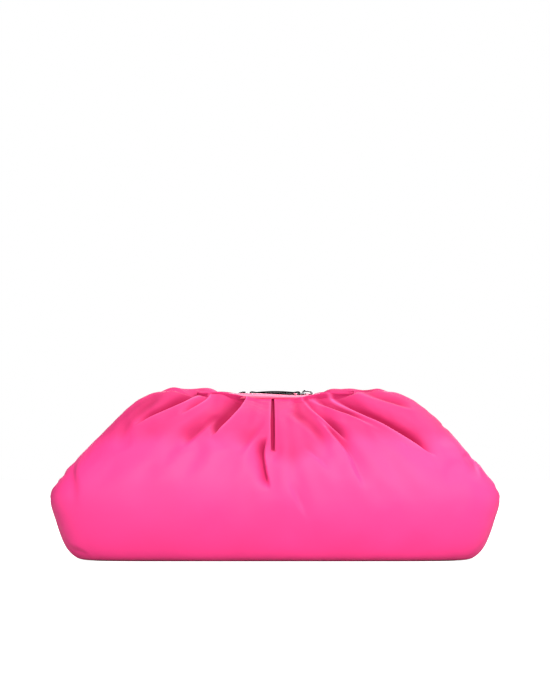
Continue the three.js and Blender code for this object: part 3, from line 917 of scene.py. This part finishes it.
def nylon_material(name, colour, roughness, gloss):
    """Hot-pink nylon: a fine plain weave, slightly uneven dye, painted shade in creases and gathers and a
    painted highlight on fold edges.
    """
    material, nodes, links, shader = new_material(name)
    shader.inputs["Specular IOR Level"].default_value = gloss

    place = nodes.new("ShaderNodeTexCoord")
    dye = nodes.new("ShaderNodeTexNoise")
    dye.inputs["Scale"].default_value = 14
    dye.inputs["Detail"].default_value = 3
    links.new(place.outputs["Object"], dye.inputs["Vector"])
    tone = nodes.new("ShaderNodeValToRGB")
    set_ramp(tone, 0.3, (*colour, 1), 0.7, (*(1.08 * part for part in colour), 1))
    links.new(dye.outputs["Fac"], tone.inputs["Fac"])

    # Painted shade: the colour turns to a dark pink where the cloth counts as lying deep, and the gloss dulls
    # there.
    relief = nodes.new("ShaderNodeAttribute")
    relief.attribute_name = "crease"
    depth = nodes.new("ShaderNodeMapRange")
    depth.interpolation_type = "SMOOTHSTEP"
    depth.inputs["From Min"].default_value = PAINTED_SHADE_START
    depth.inputs["From Max"].default_value = PAINTED_SHADE_END
    depth.inputs["To Max"].default_value = PAINTED_SHADE_MOST
    links.new(relief.outputs["Fac"], depth.inputs["Value"])
    deep = nodes.new("ShaderNodeMix")
    deep.data_type = "RGBA"
    deep.inputs["B"].default_value = PAINTED_SHADE_PINK
    links.new(depth.outputs["Result"], deep.inputs["Factor"])
    links.new(tone.outputs["Color"], deep.inputs["A"])
    # Painted highlight: the turned edges of folds turn a paler pink.
    edge = nodes.new("ShaderNodeAttribute")
    edge.attribute_name = "painted_edge_highlight"
    pale = nodes.new("ShaderNodeMix")
    pale.data_type = "RGBA"
    pale.inputs["B"].default_value = PAINTED_EDGE_HIGHLIGHT
    links.new(edge.outputs["Fac"], pale.inputs["Factor"])
    links.new(deep.outputs["Result"], pale.inputs["A"])
    links.new(pale.outputs["Result"], shader.inputs["Base Color"])
    dulled = nodes.new("ShaderNodeMapRange")
    dulled.inputs["To Min"].default_value = roughness
    dulled.inputs["To Max"].default_value = 1
    links.new(depth.outputs["Result"], dulled.inputs["Value"])
    links.new(dulled.outputs["Result"], shader.inputs["Roughness"])

    cloth = nodes.new("ShaderNodeUVMap")
    cloth.uv_map = "weave"
    weave = nodes.new("ShaderNodeMath")
    weave.operation = "MULTIPLY"
    for number, direction in enumerate(("X", "Y")):
        threads = nodes.new("ShaderNodeTexWave")
        threads.wave_type = "BANDS"
        threads.bands_direction = direction
        threads.inputs["Scale"].default_value = 420
        threads.inputs["Distortion"].default_value = 0.6
        threads.inputs["Detail"].default_value = 1
        links.new(cloth.outputs["UV"], threads.inputs["Vector"])
        links.new(threads.outputs["Fac"], weave.inputs[number])
    bump = nodes.new("ShaderNodeBump")
    bump.inputs["Strength"].default_value = 0.12
    bump.inputs["Distance"].default_value = 0.0002
    links.new(weave.outputs["Value"], bump.inputs["Height"])
    crinkle = nodes.new("ShaderNodeTexNoise")
    crinkle.inputs["Scale"].default_value = 70
    crinkle.inputs["Detail"].default_value = 4
    links.new(place.outputs["Object"], crinkle.inputs["Vector"])
    soft = nodes.new("ShaderNodeBump")
    soft.inputs["Strength"].default_value = 0.06
    soft.inputs["Distance"].default_value = 0.0015
    links.new(crinkle.outputs["Fac"], soft.inputs["Height"])
    links.new(bump.outputs["Normal"], soft.inputs["Normal"])
    links.new(soft.outputs["Normal"], shader.inputs["Normal"])
    return material


def strap_material():
    """Glossy black coated leather with a fine grain."""
    material, nodes, links, shader = new_material("black_strap")
    shader.inputs["Specular IOR Level"].default_value = 0.03
    shader.inputs["Coat Weight"].default_value = 0.015
    shader.inputs["Coat Roughness"].default_value = 0.15
    shader.inputs["Roughness"].default_value = 0.5
    place = nodes.new("ShaderNodeTexCoord")
    grain = nodes.new("ShaderNodeTexVoronoi")
    grain.inputs["Scale"].default_value = 1500
    links.new(place.outputs["Object"], grain.inputs["Vector"])
    tone = nodes.new("ShaderNodeValToRGB")
    set_ramp(tone, 0, (0.001, 0.001, 0.001, 1), 1, (0.005, 0.004, 0.0045, 1))
    links.new(grain.outputs["Distance"], tone.inputs["Fac"])
    links.new(tone.outputs["Color"], shader.inputs["Base Color"])
    bump = nodes.new("ShaderNodeBump")
    bump.inputs["Strength"].default_value = 0.15
    bump.inputs["Distance"].default_value = 0.0001
    links.new(grain.outputs["Distance"], bump.inputs["Height"])
    links.new(bump.outputs["Normal"], shader.inputs["Normal"])
    return material


def metal_material():
    """Polished silver-coloured metal, with dark reflections painted into its colour in small patches."""
    material, nodes, links, shader = new_material("polished_metal")
    shader.inputs["Metallic"].default_value = 1
    place = nodes.new("ShaderNodeTexCoord")
    # Painted reflection: small patches of the metal's colour are dark, standing in for dark things it
    # mirrors.
    painted_reflection_patches = nodes.new("ShaderNodeTexNoise")
    painted_reflection_patches.inputs["Scale"].default_value = 900
    links.new(place.outputs["Object"], painted_reflection_patches.inputs["Vector"])
    tone = nodes.new("ShaderNodeValToRGB")
    set_ramp(tone, 0.5, (0.03, 0.03, 0.032, 1), 0.6, (0.6, 0.6, 0.62, 1))
    links.new(painted_reflection_patches.outputs["Fac"], tone.inputs["Fac"])
    links.new(tone.outputs["Color"], shader.inputs["Base Color"])
    rough = nodes.new("ShaderNodeMapRange")
    rough.inputs["To Min"].default_value = 0.06
    rough.inputs["To Max"].default_value = 0.2
    links.new(painted_reflection_patches.outputs["Fac"], rough.inputs["Value"])
    links.new(rough.outputs["Result"], shader.inputs["Roughness"])
    return material


# The object

nylon = nylon_material("pink_nylon", PINK, roughness=0.58, gloss=0.31)
# The binding's paler colour is partly a painted highlight; its higher gloss is real.
satin_with_highlight = nylon_material("satin_binding_with_painted_highlight", SATIN_PINK_WITH_HIGHLIGHT, roughness=0.42, gloss=0.7)
black = strap_material()
metal = metal_material()

front = add_panel("front_cloth", FRONT, FRONT_FOLDS, FRONT_PUFFS, SEED, nylon)
back = add_panel("back_cloth", BACK, BACK_FOLDS, BACK_PUFFS, SEED + 10, nylon)
base = add_base("base_cloth", nylon)
front_rim = add_rim("front_binding", FRONT, satin_with_highlight)
back_rim = add_rim("back_binding", BACK, satin_with_highlight)
strap = add_strap("strap_strip", black)
stands_for = [
    (front, "front_panel", "nylon"),
    (back, "back_panel", "nylon"),
    (base, "base_panel", "nylon"),
    (front_rim, "front_rim", "nylon"),
    (back_rim, "back_rim", "nylon"),
    (strap, "strap_grip", "strap"),
]
for end in STRAP_ENDS:
    for node, wire in add_strap_end(end, metal).items():
        stands_for.append((wire, node + end.name, "polished_metal"))
for piece, node, slot in stands_for:
    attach(piece, "root")
    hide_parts(node)


# Stage, light and camera


def add_floor():
    """A pale floor that glows white in the picture, without lighting the bag."""
    half = 4.0
    below = 0.0002
    corners = [(-half, -half, 0), (half, -half, 0), (half, half, 0), (-half, half, 0)]
    mesh = bpy.data.meshes.new("floor")
    mesh.from_pydata(corners, [], [(0, 1, 2, 3)])
    material, _, _, shader = new_material("pale_floor")
    shader.inputs["Base Color"].default_value = (0.5, 0.5, 0.5, 1)
    shader.inputs["Roughness"].default_value = 1
    shader.inputs["Specular IOR Level"].default_value = 0
    shader.inputs["Emission Color"].default_value = (1, 1, 1, 1)
    shader.inputs["Emission Strength"].default_value = 1
    mesh.materials.append(material)
    floor = bpy.data.objects.new("floor", mesh)
    floor.location.z = -below
    bpy.context.scene.collection.objects.link(floor)
    lit = bpy.data.collections.new("lit_by_floor")
    lit.objects.link(floor)
    floor.light_linking.receiver_collection = lit


# Soft lamps: place and size in metres, power in watts, and whether a lamp lights the cloth or is only seen as
# gloss.
Lamp = namedtuple("Lamp", "name place size power lights_cloth")
LAMPS = [
    Lamp("key", (0.4, -1.8, 1.25), 1.0, 65, True),
    Lamp("fill", (-1.2, -1.7, 1.1), 1.2, 12, True),
    Lamp("left", (-2.1, -0.3, 0.3), 1.2, 6, True),
    Lamp("right", (2.1, -0.3, 0.3), 1.2, 20, True),
    Lamp("top", (0.4, 0.45, 1.7), 1.2, 14, True),
    Lamp("sheen", (0.6, 0.4, 1.4), 1.2, 15, False),
    Lamp("back", (0, 2.2, 0.7), 1.4, 42, True),
]
LAMPS_AIM = Vector((0, 0, 0.08))
EVEN_LIGHT = 0.22


def add_lamp(lamp):
    light = bpy.data.lights.new(lamp.name, "AREA")
    light.size = lamp.size
    light.energy = lamp.power
    softbox = bpy.data.objects.new(lamp.name, light)
    softbox.location = lamp.place
    softbox.rotation_euler = (LAMPS_AIM - Vector(lamp.place)).to_track_quat("-Z", "Y").to_euler()
    softbox.visible_diffuse = lamp.lights_cloth
    bpy.context.scene.collection.objects.link(softbox)


def set_world():
    """A white surround in the picture, and a dimmer even light on the bag."""
    world = bpy.data.worlds.new("studio")
    bpy.context.scene.world = world
    world.use_nodes = True
    nodes, links = world.node_tree.nodes, world.node_tree.links
    ray = nodes.new("ShaderNodeLightPath")
    strength = nodes.new("ShaderNodeMapRange")
    strength.inputs["To Min"].default_value = EVEN_LIGHT
    strength.inputs["To Max"].default_value = 1
    links.new(ray.outputs["Is Camera Ray"], strength.inputs["Value"])
    nodes["Background"].inputs["Color"].default_value = (1, 1, 1, 1)
    links.new(strength.outputs["Result"], nodes["Background"].inputs["Strength"])


# The photograph's frame, and what the bag measures in it
FRAME_HEIGHT_PX = 700
MM_PER_PX = 0.85
BAG_MIDDLE_PX = 473
BAG_MIDDLE_Z = 0.073
CAMERA_DISTANCE = 2.6
CAMERA_ELEVATION = math.radians(0.8)
SENSOR = 36


def add_camera():
    focal_px = CAMERA_DISTANCE / (MM_PER_PX * MM)
    data = bpy.data.cameras.new("camera")
    data.sensor_width = SENSOR
    data.lens = focal_px * SENSOR / FRAME_HEIGHT_PX
    camera = bpy.data.objects.new("camera", data)
    away = Vector((0, -math.cos(CAMERA_ELEVATION), math.sin(CAMERA_ELEVATION)))
    camera.location = Vector((0, 0, BAG_MIDDLE_Z)) + away * CAMERA_DISTANCE
    pitch = math.atan((BAG_MIDDLE_PX - FRAME_HEIGHT_PX / 2) / focal_px) - CAMERA_ELEVATION
    camera.rotation_euler = (math.pi / 2 + pitch, 0, 0)
    bpy.context.scene.collection.objects.link(camera)
    bpy.context.scene.camera = camera


add_floor()
set_world()
for lamp in LAMPS:
    add_lamp(lamp)
add_camera()
bpy.context.scene.view_settings.view_transform = "Standard"
